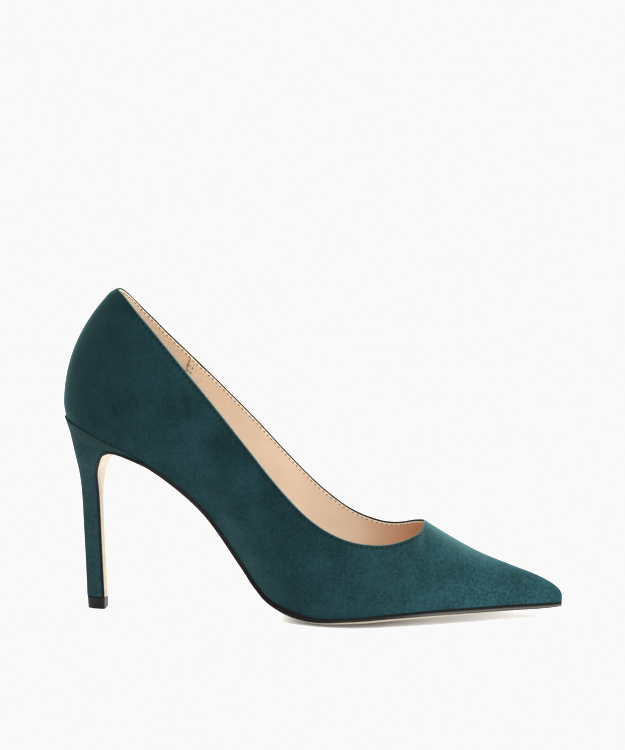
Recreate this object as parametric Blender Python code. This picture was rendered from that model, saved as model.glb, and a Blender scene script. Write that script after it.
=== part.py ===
"""Stiletto heel court shoe for the right foot: five solids worked out from one table of last sections.

Frame: +X towards the toe, -Y the outer side of the foot, +Z up, with the floor at z = 0.
All named sizes are millimetres; the meshes are made in metres.
"""
import math
from collections import namedtuple

import bmesh
import bpy
import numpy as np

MM = 0.001

# Driving dimensions of the last
LAST_LENGTH = 234.0
BALL_WIDTH = 66.5
HEEL_HEIGHT = 92.2
THROAT_ALONG = 169.3

# Driving dimensions of the pieces
WALL = 1.8
INSOLE_THICKNESS = 2.0
GAP = 0.3
TOP_PIECE_HEIGHT = 5.4
TOP_PIECE_HALF_WIDTH = 4.2
TOP_PIECE_TAPER = 0.5
TOP_PIECE_SIDE_TAPER = 0.1
TOP_PIECE_SETBACK = 0.1

# Lean of the counter at the back seam: a small bulge over the seat, then forward with height,
# and a last curl inwards at the collar
COUNTER_LEAN = 23.8
COUNTER_RISE = 60.0
COUNTER_POWER = 2.45
COUNTER_BULGE = 1.25
COUNTER_BULGE_RISE = 8.0
COUNTER_REACH = 58.0
COUNTER_CURL = 8.8
CURL_START = 58.0
CURL_END = 63.6

# Swing of the centre line: the heel points outwards and the toe inwards, turning at the ball
HEEL_SWING = math.radians(4.0)
TOE_SWING = math.radians(3.3)
SWING_ALONG = 131.0
SWING_BLEND = 30.0

# Sections of the last from the back seam to the toe tip.
# along: distance from the back; seat: height of the feather edge; out, inn: half widths there;
# belly: how far the side swells past the feather edge; rise: height of that swell above the seat;
# crest: height where the two sides meet; full: exponent of the section, larger is squarer.
Section = namedtuple("Section", "along seat out inn belly rise crest full")
SECTIONS = (
    Section(0.0, 92.2, 0.0, 0.0, 0.0, 22.0, 172.0, 2.2),
    Section(3.0, 90.9, 9.5, 9.5, 1.2, 22.0, 172.0, 2.2),
    Section(11.0, 88.0, 17.6, 17.6, 2.4, 22.0, 170.0, 2.2),
    Section(22.0, 83.3, 22.0, 22.0, 3.2, 24.0, 165.0, 2.2),
    Section(36.0, 76.9, 22.6, 22.6, 4.0, 26.0, 161.0, 2.2),
    Section(53.0, 65.8, 20.0, 20.0, 6.5, 30.0, 157.0, 2.2),
    Section(70.0, 49.9, 17.2, 16.8, 10.0, 32.0, 149.0, 2.2),
    Section(86.0, 27.4, 17.4, 16.0, 11.5, 30.0, 137.0, 2.2),
    Section(94.0, 16.2, 19.2, 17.6, 10.6, 27.3, 128.0, 2.15),
    Section(102.0, 9.3, 22.0, 20.0, 9.0, 24.0, 117.0, 2.1),
    Section(119.0, 4.4, 29.5, 26.0, 5.5, 17.0, 89.0, 2.0),
    Section(137.0, 5.0, 33.5, 32.0, 3.5, 12.0, 69.0, 1.7),
    Section(156.0, 6.5, 30.0, 33.0, 3.0, 10.0, 54.2, 1.4),
    Section(175.0, 7.3, 24.0, 28.5, 2.2, 8.0, 41.7, 1.3),
    Section(193.0, 7.4, 17.5, 21.0, 1.6, 7.0, 31.3, 1.35),
    Section(209.0, 7.4, 11.5, 13.5, 1.2, 6.0, 24.6, 1.5),
    Section(222.4, 7.2, 6.6, 7.4, 0.8, 5.0, 19.4, 1.7),
    Section(231.0, 7.0, 2.9, 3.2, 0.4, 4.0, 14.4, 1.9),
    Section(234.0, 6.9, 0.0, 0.0, 0.0, 3.0, 9.6, 2.0),
)
PASSES_BACK = ("out", "inn", "belly")
PASSES_TOE = ("out", "inn", "belly", "crest")

# Height of the topline on the outer and the inner side, up to the throat
Topline = namedtuple("Topline", "along out inn")
TOPLINE = (
    Topline(25.5, 153.0, 153.0),
    Topline(30.0, 150.5, 146.3),
    Topline(40.0, 140.9, 134.9),
    Topline(56.0, 122.6, 119.2),
    Topline(72.0, 104.0, 103.7),
    Topline(88.0, 84.6, 87.8),
    Topline(104.0, 65.0, 70.9),
    Topline(120.0, 49.2, 55.8),
    Topline(132.0, 42.0, 47.0),
    Topline(144.0, 38.5, 42.0),
    Topline(152.0, 37.9, 40.6),
    Topline(159.0, 38.8, 41.4),
    Topline(165.0, 40.7, 43.6),
    Topline(167.6, 42.1, 44.5),
)

# Outsole from the arch to the toe. edge: height of its painted edge; roll: depth of the rolled corner
# under it; thick: depth at the middle; bevel: width over which the bottom sinks to that depth.
Sole = namedtuple("Sole", "along edge roll thick bevel")
SOLE = (
    Sole(40.0, 1.7, 0.3, 2.2, 3.0),
    Sole(60.0, 1.8, 0.8, 2.8, 4.0),
    Sole(80.0, 1.8, 0.4, 2.5, 5.0),
    Sole(98.0, 2.0, 0.2, 2.4, 7.0),
    Sole(108.0, 2.6, 0.3, 3.3, 10.0),
    Sole(119.0, 2.2, 0.6, 4.4, 14.0),
    Sole(137.0, 1.7, 0.9, 5.0, 15.0),
    Sole(150.0, 1.95, 1.0, 4.8, 13.0),
    Sole(165.0, 2.3, 1.0, 4.2, 10.0),
    Sole(185.0, 2.5, 1.0, 3.9, 6.0),
    Sole(200.0, 2.4, 0.7, 3.3, 4.0),
    Sole(212.0, 2.5, 0.2, 2.9, 2.5),
    Sole(228.0, 2.3, 0.1, 2.5, 1.5),
    Sole(234.0, 1.9, 0.1, 2.1, 0.4),
)
FLAP = Sole(40.0, 1.1, 0.2, 1.8, 3.4)  # the same sizes down the heel's breast
ROLL_IN = 1.6  # width of the rolled corner
ROLL_MOST = 0.7  # of the depth under the painted edge
BEVEL_MOST = 0.8  # of the half width
EDGE_STEP = 0.05
JOIN_RUN = 3.0  # from the tip of the heel's wedge to the sole's first station
TOE_SETBACK = 0.06  # in section numbers
FLAP_RAMP = 4  # stations over which the sole thins to the flap

# Heel from the top piece to the seat. back, front: distances along; half: half width at the breast
HeelRing = namedtuple("HeelRing", "back back_z front front_z half")
HEEL = (
    HeelRing(9.0, 5.7, 16.9, 5.7, 4.1),
    HeelRing(8.4, 22.0, 16.2, 22.0, 4.1),
    HeelRing(7.6, 40.0, 15.5, 40.0, 4.1),
    HeelRing(6.9, 55.0, 15.1, 55.0, 5.2),
    HeelRing(5.9, 65.0, 15.3, 65.5, 9.6),
    HeelRing(4.6, 71.8, 17.3, 72.0, 14.4),
    HeelRing(3.5, 76.6, 19.7, 76.3, 17.0),
    HeelRing(2.5, 80.8, 24.5, 78.1, 18.9),
    HeelRing(1.4, 85.2, 31.0, 76.9, 20.6),
    HeelRing(-0.8, 91.9, 40.0, 74.2, 22.0),
)
CUP_START = 5.0  # ring number where the stem begins to widen into the cup

# Number of faces along and around each piece
REAR_COLUMNS = 36
REAR_CROWDING = 1.6  # larger puts more ribs near the throat
TOE_COLUMNS = 14
WALL_ROWS = 10
TOE_FILL_COLUMNS = 5
SOLE_STATIONS = 34
FLAP_STATIONS = 26
INSOLE_STATIONS = 40
INSOLE_STRIPS = 4
INSOLE_START = 0.25  # in section numbers
INSOLE_TOE_CLEAR = 0.3
HEEL_RINGS = 28
HEEL_SIDE_POINTS = 9
TOP_PIECE_RINGS = 3

# Steps of the numerical work: merging, creases, slopes, halvings and the fine table of sections
MERGE_METRES = 1e-6
CREASE_ANGLE = math.radians(40)
SLOPE_STEP = 0.5
OUTLINE_STEP = 0.01
HALVINGS = 40
FINE_STEPS = 1701


def curve_through(x, knots, values):
    """Smooth curve through rows: cubic pieces whose slopes come from the neighbouring rows."""
    knots = np.asarray(knots, float)
    values = np.asarray(values, float)
    slopes = np.gradient(values, knots)
    i = np.clip(np.searchsorted(knots, x, side="right") - 1, 0, len(knots) - 2)
    width = knots[i + 1] - knots[i]
    f = (x - knots[i]) / width
    start = (1 + 2 * f) * (1 - f) ** 2 * values[i] + f * (1 - f) ** 2 * width * slopes[i]
    end = f * f * (3 - 2 * f) * values[i + 1] - f * f * (1 - f) * width * slopes[i + 1]
    return start + end


def section(name, u):
    """One column of the section table at section number u.

    Past the back and the toe a column is mirrored, or runs through the end where it changes sides.
    """
    scale = {
        "along": LAST_LENGTH / SECTIONS[-1].along,
        "seat": HEEL_HEIGHT / SECTIONS[0].seat,
        "out": BALL_WIDTH / (max(row.out for row in SECTIONS) + max(row.inn for row in SECTIONS)),
    }
    scale["inn"] = scale["out"]
    values = [getattr(row, name) for row in SECTIONS]
    before = 2 * values[0] - values[1] if name in PASSES_BACK else values[1]
    after = 2 * values[-1] - values[-2] if name in PASSES_TOE else values[-2]
    rows = [before] + values + [after]
    return scale.get(name, 1.0) * curve_through(u, np.arange(-1, len(values) + 1), rows)


LAST_SECTION = len(SECTIONS) - 1
FINE_U = np.linspace(0.0, LAST_SECTION, FINE_STEPS)
FINE_ALONG = section("along", FINE_U)


def number_at(along):
    """Section number u at a distance along the last."""
    return np.interp(along, FINE_ALONG, FINE_U)


def row_curve(table, name, along):
    """Smooth curve through one column of a table that has its own along column."""
    return curve_through(along, [row.along for row in table], [getattr(row, name) for row in table])


def centre_line(along):
    """Sideways place and slope of the centre line: a hyperbola between the heel's and the toe's line."""
    mean = (math.tan(TOE_SWING) - math.tan(HEEL_SWING)) / 2
    half = (math.tan(TOE_SWING) + math.tan(HEEL_SWING)) / 2
    away = along - SWING_ALONG
    reach = np.sqrt(away ** 2 + SWING_BLEND ** 2)
    return mean * away + half * (reach - SWING_BLEND), mean + half * away / reach


def place(along, offset, z):
    """Points at a distance along, an offset square to the centre line and a height."""
    side, slope = centre_line(along)
    x = along - offset * slope
    return np.stack(np.broadcast_arrays(x, side + offset, z), axis=-1)


def counter_lean(along, up):
    """How far a rib of the counter leans forward at a height above the seat."""
    forward = COUNTER_LEAN * (up / COUNTER_RISE) ** COUNTER_POWER
    bulge = COUNTER_BULGE * np.sin(np.minimum(up / COUNTER_BULGE_RISE, 1.0) * math.pi / 2)
    curl = COUNTER_CURL * np.clip((up - CURL_START) / (CURL_END - CURL_START), 0.0, 1.0) ** 2
    fade = 0.5 + 0.5 * np.cos(math.pi * np.minimum(along / COUNTER_REACH, 1.0))
    return (forward - bulge + curl) * fade


def last_surface(u, side, t):
    """The last's side: a rib at section u rises from the feather edge (t = 0) to the crest (t = 1).

    Height is the section's height times v = sin(t pi / 2); the half width swells by the belly and
    then closes by sqrt(1 - v ** full). side is -1 for the outer and +1 for the inner side.
    """
    along = section("along", u)
    seat = section("seat", u)
    height = section("crest", u) - seat
    v = np.sin(t * math.pi / 2)
    up = height * v
    swell = np.sin(np.minimum(up / section("rise", u), 1.0) * math.pi / 2)
    foot = section("out", u) if side < 0 else section("inn", u)
    half = (foot + section("belly", u) * swell) * np.sqrt(np.maximum(1 - v ** section("full", u), 0.0))
    return place(along + counter_lean(along, up), side * half, seat + up)


def topline_share(u, side):
    """Share of each rib that the upper covers, found by halving: up to the topline, or 1 past the throat."""
    name = "out" if side < 0 else "inn"
    throat_z = float(section("crest", number_at(THROAT_ALONG)))
    along = [row.along for row in TOPLINE] + [THROAT_ALONG]
    height = [getattr(row, name) for row in TOPLINE] + [throat_z]
    low = np.zeros_like(u)
    high = np.ones_like(u)
    for _ in range(HALVINGS):
        t = (low + high) / 2
        seat = section("seat", u)
        up = (section("crest", u) - seat) * np.sin(t * math.pi / 2)
        foot_along = section("along", u)
        x = foot_along + counter_lean(foot_along, up)
        below = seat + up < curve_through(x, along, height)
        low = np.where(below, t, low)
        high = np.where(below, high, t)
    return np.where(section("along", u) < THROAT_ALONG - 1e-6, high, 1.0)


def upper_columns():
    """Section numbers of the upper's ribs: close together near the throat, and one at the throat itself."""
    throat = float(number_at(THROAT_ALONG))
    rear = throat * (1 - (1 - np.linspace(0, 1, REAR_COLUMNS + 1)) ** REAR_CROWDING)
    front = np.linspace(throat, LAST_SECTION, TOE_COLUMNS + 1)
    return np.concatenate((rear, front[1:]))


def material(name, colour, roughness):
    """Principled material of one colour."""
    made = bpy.data.materials.new(name)
    made.use_nodes = True
    shader = made.node_tree.nodes["Principled BSDF"]
    shader.inputs["Base Color"].default_value = (*colour, 1.0)
    shader.inputs["Roughness"].default_value = roughness
    made.diffuse_color = (*colour, 1.0)
    return made


def solid(name, points, faces, finish):
    """Object from millimetre points and faces: doubles merged, loose points gone, faces turned outwards."""
    mesh = bpy.data.meshes.new(name)
    mesh.from_pydata((points * MM).tolist(), [], faces)
    work = bmesh.new()
    work.from_mesh(mesh)
    bmesh.ops.remove_doubles(work, verts=work.verts, dist=MERGE_METRES)
    bmesh.ops.delete(work, geom=[v for v in work.verts if not v.link_faces], context="VERTS")
    bmesh.ops.recalc_face_normals(work, faces=work.faces)
    work.to_mesh(mesh)
    work.free()
    mesh.shade_smooth()
    mesh.set_sharp_from_angle(angle=CREASE_ANGLE)
    mesh.materials.append(finish)
    made = bpy.data.objects.new(name, mesh)
    bpy.context.scene.collection.objects.link(made)
    return made


def grid_faces(ids):
    """Quads between neighbouring rows and columns of a grid of point numbers."""
    quads = np.stack((ids[:-1, :-1], ids[1:, :-1], ids[1:, 1:], ids[:-1, 1:]), axis=-1).reshape(-1, 4)
    return [list(dict.fromkeys(quad)) for quad in quads.tolist()]


def lofted(name, rings, finish):
    """Closed solid through rings of points, with a flat face at each end."""
    count, around = rings.shape[:2]
    ids = np.arange(count * around).reshape(count, around)
    faces = grid_faces(np.column_stack((ids, ids[:, 0])))
    faces += [ids[0].tolist(), ids[-1].tolist()]
    return solid(name, rings.reshape(-1, 3), faces, finish)


def make_upper(finish):
    """Hollow upper: an outer wall on the last, an inner wall square to it, and rims between them."""
    u = upper_columns()[:, None]
    share = np.linspace(0.0, 1.0, WALL_ROWS + 1)[None, :]
    outer_side = last_surface(u, -1, topline_share(u, -1) * share)
    inner_side = last_surface(u, 1, topline_share(u, 1) * share)
    last = len(u) - 1
    ring = np.concatenate((outer_side, inner_side[last - 1:0:-1]))
    ids = np.arange(ring[..., 0].size).reshape(ring.shape[:2])
    mate = np.arange(REAR_COLUMNS, last)
    ids[2 * last - mate, -1] = ids[mate, -1]

    around = np.roll(ring, -1, axis=0) - np.roll(ring, 1, axis=0)
    upwards = np.gradient(ring, axis=1)
    normal = np.cross(around, upwards)
    ridge = normal[mate, -1] + normal[2 * last - mate, -1]
    normal[mate, -1] = ridge
    normal[2 * last - mate, -1] = ridge
    length = np.linalg.norm(normal, axis=-1, keepdims=True)
    inside = ring - WALL * normal / np.maximum(length, 1e-9)
    inside_ids = ids + ids.size

    fill = last - TOE_FILL_COLUMNS
    lined = np.concatenate((np.arange(2 * last - fill, 2 * last), np.arange(0, fill + 1)))
    collar = np.concatenate((np.arange(2 * last - REAR_COLUMNS, 2 * last), np.arange(0, REAR_COLUMNS + 1)))
    toe = np.arange(fill, last + 1)
    closed = np.vstack((ids, ids[:1]))
    faces = grid_faces(closed)
    faces += grid_faces(inside_ids[lined])
    faces += grid_faces(np.column_stack((ids[lined, 0], inside_ids[lined, 0])))
    faces += grid_faces(np.column_stack((ids[collar, -1], inside_ids[collar, -1])))
    faces += grid_faces(np.vstack((inside_ids[fill], inside_ids[2 * last - fill])))
    under = np.column_stack((ids[toe, 0], ids[2 * last - toe, 0]))
    faces += grid_faces(np.vstack(([inside_ids[fill, 0], inside_ids[2 * last - fill, 0]], under)))
    points = np.concatenate((ring.reshape(-1, 3), inside.reshape(-1, 3)))
    return solid("upper", points, faces, finish)


def inset_outline(u, name, clear):
    """The feather edge moved inwards: distances along and half widths, square to the outline."""
    along = section("along", u)
    half = section(name, u)
    run = section("along", u + OUTLINE_STEP) - section("along", u - OUTLINE_STEP)
    widen = section(name, u + OUTLINE_STEP) - section(name, u - OUTLINE_STEP)
    length = np.hypot(run, widen)
    return along + clear * widen / length, half - clear * run / length


def make_insole(finish):
    """Board that closes the upper from inside: a strip on the seat, clear of the wall all round."""
    front = upper_columns()[-1 - TOE_FILL_COLUMNS] - INSOLE_TOE_CLEAR
    u = np.linspace(INSOLE_START, front, INSOLE_STATIONS)[:, None]
    outer_along, outer_half = inset_outline(u, "out", WALL + GAP)
    inner_along, inner_half = inset_outline(u, "inn", WALL + GAP)
    across = np.linspace(0.0, 1.0, INSOLE_STRIPS + 1)[None, :]
    along = outer_along + (inner_along - outer_along) * across
    offset = -outer_half + (inner_half + outer_half) * across
    seat = section("seat", number_at(along))
    ahead, behind = (section("seat", number_at(along + step)) for step in (SLOPE_STEP, -SLOPE_STEP))
    climb = (ahead - behind) / (2 * SLOPE_STEP)
    lift = INSOLE_THICKNESS / np.sqrt(1 + climb ** 2)
    bottom = place(along, offset, seat)
    top = place(along - climb * lift, offset, seat + lift)
    return lofted("insole", np.concatenate((bottom, top[:, ::-1]), axis=1), finish)


def heel_table(name, h):
    """One column of the heel table at ring number h."""
    return curve_through(h, np.arange(len(HEEL)), [getattr(row, name) for row in HEEL])


def outsole_path():
    """Stations of the outsole's top: the seat from the toe to the arch, then the heel's front edge."""
    front = np.linspace(LAST_SECTION - TOE_SETBACK, number_at(SOLE[0].along + JOIN_RUN), SOLE_STATIONS)
    h = np.linspace(len(HEEL) - 1, 0, FLAP_STATIONS)
    along = np.concatenate((section("along", front), heel_table("front", h)))
    z = np.concatenate((section("seat", front), heel_table("front_z", h)))
    out = np.concatenate((section("out", front), heel_table("half", h)))
    inn = np.concatenate((section("inn", front), heel_table("half", h)))
    return along, z, out, inn


def make_outsole(finish):
    """Sole and breast flap: one cross section carried along the path, flat on the floor at the ball."""
    along, z, out, inn = outsole_path()
    run = np.gradient(along)
    climb = np.gradient(z)
    length = np.hypot(run, climb)
    down_along, down_z = -climb / length, run / length
    on_flap = np.arange(len(along)) >= SOLE_STATIONS
    ramp = np.clip((np.arange(len(along)) - SOLE_STATIONS) / FLAP_RAMP, 0.0, 1.0)
    sole_along = np.clip(along, SOLE[0].along, SOLE[-1].along)
    sizes = {}
    for name in ("edge", "roll", "thick", "bevel"):
        sizes[name] = row_curve(SOLE, name, np.where(on_flap, SOLE[0].along, sole_along))
        sizes[name] = sizes[name] + (getattr(FLAP, name) - sizes[name]) * ramp
    edge = np.minimum(sizes["edge"], sizes["thick"] - EDGE_STEP)
    bevel = np.minimum(sizes["bevel"], BEVEL_MOST * np.minimum(out, inn))
    rolled = edge + np.minimum(sizes["roll"], ROLL_MOST * (sizes["thick"] - edge))
    corner = np.minimum(ROLL_IN, bevel / 2)
    outline = [
        (-out, 0.0 * edge), (-out, edge), (-out + corner, rolled), (-out + bevel, sizes["thick"]),
        (inn - bevel, sizes["thick"]), (inn - corner, rolled), (inn, edge), (inn, 0.0 * edge),
    ]
    points = []
    for offset, depth in outline:
        reach = GAP + depth
        height = np.maximum(z + down_z * reach, 0.0)
        points.append(place(along + down_along * reach, offset, height))
    return lofted("outsole", np.stack(points, axis=1), finish)


def heel_ring_points(h):
    """D-shaped rings at heel numbers h: flat at the breast and round at the back.

    The stem is half an ellipse. The cup has the seat's own outline, cut off at the breast and narrowed.
    """
    turn = np.linspace(0.0, math.pi / 2, HEEL_SIDE_POINTS + 1)
    share = 1 - np.cos(turn)
    h = h[:, None]
    back, front = heel_table("back", h), heel_table("front", h)
    along = back + (front - back) * share
    chord = heel_table("back_z", h) + (heel_table("front_z", h) - heel_table("back_z", h)) * share
    seat_back, seat_front = (section("seat", number_at(end)) for end in (back, front))
    bend = section("seat", number_at(along)) - seat_back - (seat_front - seat_back) * share
    outline = section("out", number_at((front - back) * share)) / section("out", number_at(front - back))
    cup = np.clip((h - CUP_START) / (len(HEEL) - 1 - CUP_START), 0.0, 1.0)
    cup = cup * cup * (3 - 2 * cup)
    half = heel_table("half", h) * ((1 - cup) * np.sin(turn) + cup * outline)
    return along, half, chord + bend


def make_heel(finish):
    """Stiletto heel: rings from the top piece up to the seat, with ladder faces on both ends."""
    along, half, z = heel_ring_points(np.linspace(0, len(HEEL) - 1, HEEL_RINGS))
    outer = place(along, -half, z)
    inner = place(along, half, z)
    rings = np.concatenate((outer, inner[:, :0:-1]), axis=1)
    count, around = rings.shape[:2]
    ids = np.arange(count * around).reshape(count, around)
    faces = grid_faces(np.column_stack((ids, ids[:, 0])))
    for end in (0, -1):
        ladder = np.column_stack((ids[end, 1:HEEL_SIDE_POINTS + 1], ids[end, :HEEL_SIDE_POINTS:-1]))
        faces.append([int(ids[end, 0]), int(ladder[0, 0]), int(ladder[0, 1])])
        faces += grid_faces(ladder)
    return solid("heel", rings.reshape(-1, 3), faces, finish)


def make_top_piece(finish):
    """Lift under the heel: the same D section, a little smaller towards the floor."""
    turn = np.linspace(0.0, math.pi / 2, HEEL_SIDE_POINTS + 1)
    rings = []
    for share in np.linspace(0.0, 1.0, TOP_PIECE_RINGS):
        taper = (1 - share) ** 2
        back = HEEL[0].back + TOP_PIECE_SETBACK + TOP_PIECE_TAPER * taper
        front = HEEL[0].front + GAP + FLAP.edge
        along = back + (front - back) * (1 - np.cos(turn))
        half = (TOP_PIECE_HALF_WIDTH - TOP_PIECE_SIDE_TAPER * taper) * np.sin(turn)
        outer = place(along, -half, TOP_PIECE_HEIGHT * share)
        inner = place(along, half, TOP_PIECE_HEIGHT * share)
        rings.append(np.concatenate((outer, inner[:0:-1])))
    return lofted("top_piece", np.array(rings), finish)


def stand_at_origin(pieces):
    """Move every mesh so that the origin is at the middle of the whole shoe's box, on the floor."""
    corners = np.array([vertex.co for piece in pieces for vertex in piece.data.vertices])
    low, high = corners.min(axis=0), corners.max(axis=0)
    for piece in pieces:
        for vertex in piece.data.vertices:
            vertex.co.x -= (low[0] + high[0]) / 2
            vertex.co.y -= (low[1] + high[1]) / 2
            vertex.co.z -= low[2]


def main():
    for old in list(bpy.data.objects):
        bpy.data.objects.remove(old)
    suede = material("teal_suede", (0.020, 0.062, 0.068), 0.95)
    heel_suede = material("teal_suede_heel", (0.018, 0.055, 0.060), 0.95)
    sock = material("beige_leather", (0.76, 0.56, 0.39), 0.55)
    sole = material("cream_sole", (0.80, 0.68, 0.52), 0.5)
    lift = material("black_lift", (0.010, 0.010, 0.011), 0.35)
    pieces = [
        make_upper(suede), make_insole(sock), make_outsole(sole), make_heel(heel_suede), make_top_piece(lift),
    ]
    stand_at_origin(pieces)


if __name__ == "__main__":
    main()
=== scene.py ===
"""Dresses a stiletto court shoe: suede upper, leather lining, stitches, sock, sole, heel cover and lift.

The last's tables are in millimetres and run from the back seam to the toe. A signed section number s goes
once round the last: from the toe tip along the outer side (s < 0) to the back (s = 0), and along the inner
side (s > 0) to the toe again. Finished meshes are in metres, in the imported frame.
"""

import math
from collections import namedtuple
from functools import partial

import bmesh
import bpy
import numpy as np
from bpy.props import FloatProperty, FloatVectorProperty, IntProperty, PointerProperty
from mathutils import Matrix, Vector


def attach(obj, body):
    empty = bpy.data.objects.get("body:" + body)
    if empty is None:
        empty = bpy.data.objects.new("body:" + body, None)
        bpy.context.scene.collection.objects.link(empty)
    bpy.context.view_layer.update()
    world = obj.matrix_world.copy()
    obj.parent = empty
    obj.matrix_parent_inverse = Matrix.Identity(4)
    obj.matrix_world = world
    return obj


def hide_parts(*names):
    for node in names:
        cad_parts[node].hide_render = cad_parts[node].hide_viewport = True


bl_info = {
    "name": "Stiletto court shoe",
    "version": (1, 0, 0),
    "blender": (4, 5, 0),
    "location": "View3D > Sidebar > Shoe",
    "description": "Dresses the court shoe in suede, leather and edge paint, and sets up its studio",
    "category": "Add Mesh",
}

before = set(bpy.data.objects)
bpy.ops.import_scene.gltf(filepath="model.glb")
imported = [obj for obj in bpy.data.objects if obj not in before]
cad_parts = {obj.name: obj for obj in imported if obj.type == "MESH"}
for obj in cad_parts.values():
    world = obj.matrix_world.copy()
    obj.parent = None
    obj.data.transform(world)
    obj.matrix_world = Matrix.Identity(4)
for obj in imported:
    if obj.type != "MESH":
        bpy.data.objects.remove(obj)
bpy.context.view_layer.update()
MM = 0.001

# Driving dimensions of the last, and the wall of the upper with its lining
LAST_LENGTH = 234.0
BALL_WIDTH = 66.5
HEEL_HEIGHT = 92.2
THROAT_ALONG = 169.3
WALL = 1.8

# Lean of the counter: a small bulge over the seat, then forward with height, and a last curl at the collar
COUNTER_LEAN = 23.8
COUNTER_RISE = 60.0
COUNTER_POWER = 2.45
COUNTER_BULGE = 1.25
COUNTER_BULGE_RISE = 8.0
COUNTER_REACH = 58.0
COUNTER_CURL = 8.8
CURL_START = 58.0
CURL_END = 63.6

# Swing of the centre line: the heel points outwards and the toe inwards, turning at the ball
HEEL_SWING = math.radians(4.0)
TOE_SWING = math.radians(3.3)
SWING_ALONG = 131.0
SWING_BLEND = 30.0


def table(columns, *rows):
    """Table with named columns, each an array, from rows of numbers."""
    return namedtuple("Table", columns)(*np.transpose(rows))


# Sections of the last. along: distance from the back; seat: height of the feather edge; out, inn: half
# widths there; belly: swell of the side past the feather edge; rise: height of that swell; crest: height
# where the sides meet; full: exponent of the section, larger is squarer.
SECTIONS = table(
    "along seat out inn belly rise crest full",
    (0.0, 92.2, 0.0, 0.0, 0.0, 22.0, 172.0, 2.2),
    (3.0, 90.9, 9.5, 9.5, 1.2, 22.0, 172.0, 2.2),
    (11.0, 88.0, 17.6, 17.6, 2.4, 22.0, 170.0, 2.2),
    (22.0, 83.3, 22.0, 22.0, 3.2, 24.0, 165.0, 2.2),
    (36.0, 76.9, 22.6, 22.6, 4.0, 26.0, 161.0, 2.2),
    (53.0, 65.8, 20.0, 20.0, 6.5, 30.0, 157.0, 2.2),
    (70.0, 49.9, 17.2, 16.8, 10.0, 32.0, 149.0, 2.2),
    (86.0, 27.4, 17.4, 16.0, 11.5, 30.0, 137.0, 2.2),
    (94.0, 16.2, 19.2, 17.6, 10.6, 27.3, 128.0, 2.15),
    (102.0, 9.3, 22.0, 20.0, 9.0, 24.0, 117.0, 2.1),
    (119.0, 4.4, 29.5, 26.0, 5.5, 17.0, 89.0, 2.0),
    (137.0, 5.0, 33.5, 32.0, 3.5, 12.0, 69.0, 1.7),
    (156.0, 6.5, 30.0, 33.0, 3.0, 10.0, 54.2, 1.4),
    (175.0, 7.3, 24.0, 28.5, 2.2, 8.0, 41.7, 1.3),
    (193.0, 7.4, 17.5, 21.0, 1.6, 7.0, 31.3, 1.35),
    (209.0, 7.4, 11.5, 13.5, 1.2, 6.0, 24.6, 1.5),
    (222.4, 7.2, 6.6, 7.4, 0.8, 5.0, 19.4, 1.7),
    (231.0, 7.0, 2.9, 3.2, 0.4, 4.0, 14.4, 1.9),
    (234.0, 6.9, 0.0, 0.0, 0.0, 3.0, 9.6, 2.0),
)
PASSES_BACK = ("out", "inn", "belly")  # columns that run through 0 at the back; the others are mirrored
PASSES_TOE = ("out", "inn", "belly", "crest")
WIDTH_SCALE = BALL_WIDTH / (SECTIONS.out.max() + SECTIONS.inn.max())
SCALES = {
    "along": LAST_LENGTH / SECTIONS.along[-1], "seat": HEEL_HEIGHT / SECTIONS.seat[0],
    "out": WIDTH_SCALE, "inn": WIDTH_SCALE,
}

# Height of the topline on the outer and the inner side, up to the throat
TOPLINE = table(
    "along out inn",
    (25.5, 153.0, 153.0),
    (30.0, 150.5, 146.3),
    (40.0, 140.9, 134.9),
    (56.0, 122.6, 119.2),
    (72.0, 104.0, 103.7),
    (88.0, 84.6, 87.8),
    (104.0, 65.0, 70.9),
    (120.0, 49.2, 55.8),
    (132.0, 42.0, 47.0),
    (144.0, 38.5, 42.0),
    (152.0, 37.9, 40.6),
    (159.0, 38.8, 41.4),
    (165.0, 40.7, 43.6),
    (167.6, 42.1, 44.5),
)

# Sole from the heel's wedge to the toe. edge: height of its painted edge; roll: depth of the rolled corner
# under it; thick: depth at the middle; bevel: how far in from the side the bottom is at its full depth
SOLE = table(
    "along edge roll thick bevel",
    (40.0, 1.7, 0.3, 2.2, 3.0),
    (60.0, 1.8, 0.8, 2.8, 4.0),
    (80.0, 1.8, 0.4, 2.5, 5.0),
    (98.0, 2.0, 0.2, 2.4, 7.0),
    (108.0, 2.6, 0.3, 3.3, 10.0),
    (119.0, 2.2, 0.6, 4.4, 14.0),
    (137.0, 1.7, 0.9, 5.0, 15.0),
    (150.0, 1.95, 1.0, 4.8, 13.0),
    (165.0, 2.3, 1.0, 4.2, 10.0),
    (185.0, 2.5, 1.0, 3.9, 6.0),
    (200.0, 2.4, 0.7, 3.3, 4.0),
    (212.0, 2.5, 0.2, 2.9, 2.5),
    (228.0, 2.3, 0.1, 2.5, 1.5),
    (234.0, 1.9, 0.1, 2.1, 0.4),
)
FLAP = {"edge": 1.1, "roll": 0.2, "thick": 1.8, "bevel": 3.4}  # the same sizes down the heel's breast
FLAP_GAP = 0.3
FLAP_RAMP = 0.12  # share of the flap over which the sole thins to it
ROLL_IN = 1.6  # width of the rolled corner
ROLL_MOST = 0.7  # of the depth under the painted edge
BEVEL_MOST = 0.8  # of the half width
EDGE_STEP = 0.05
JOIN_RUN = 3.0  # from the tip of the heel's wedge to the sole's first station

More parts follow.
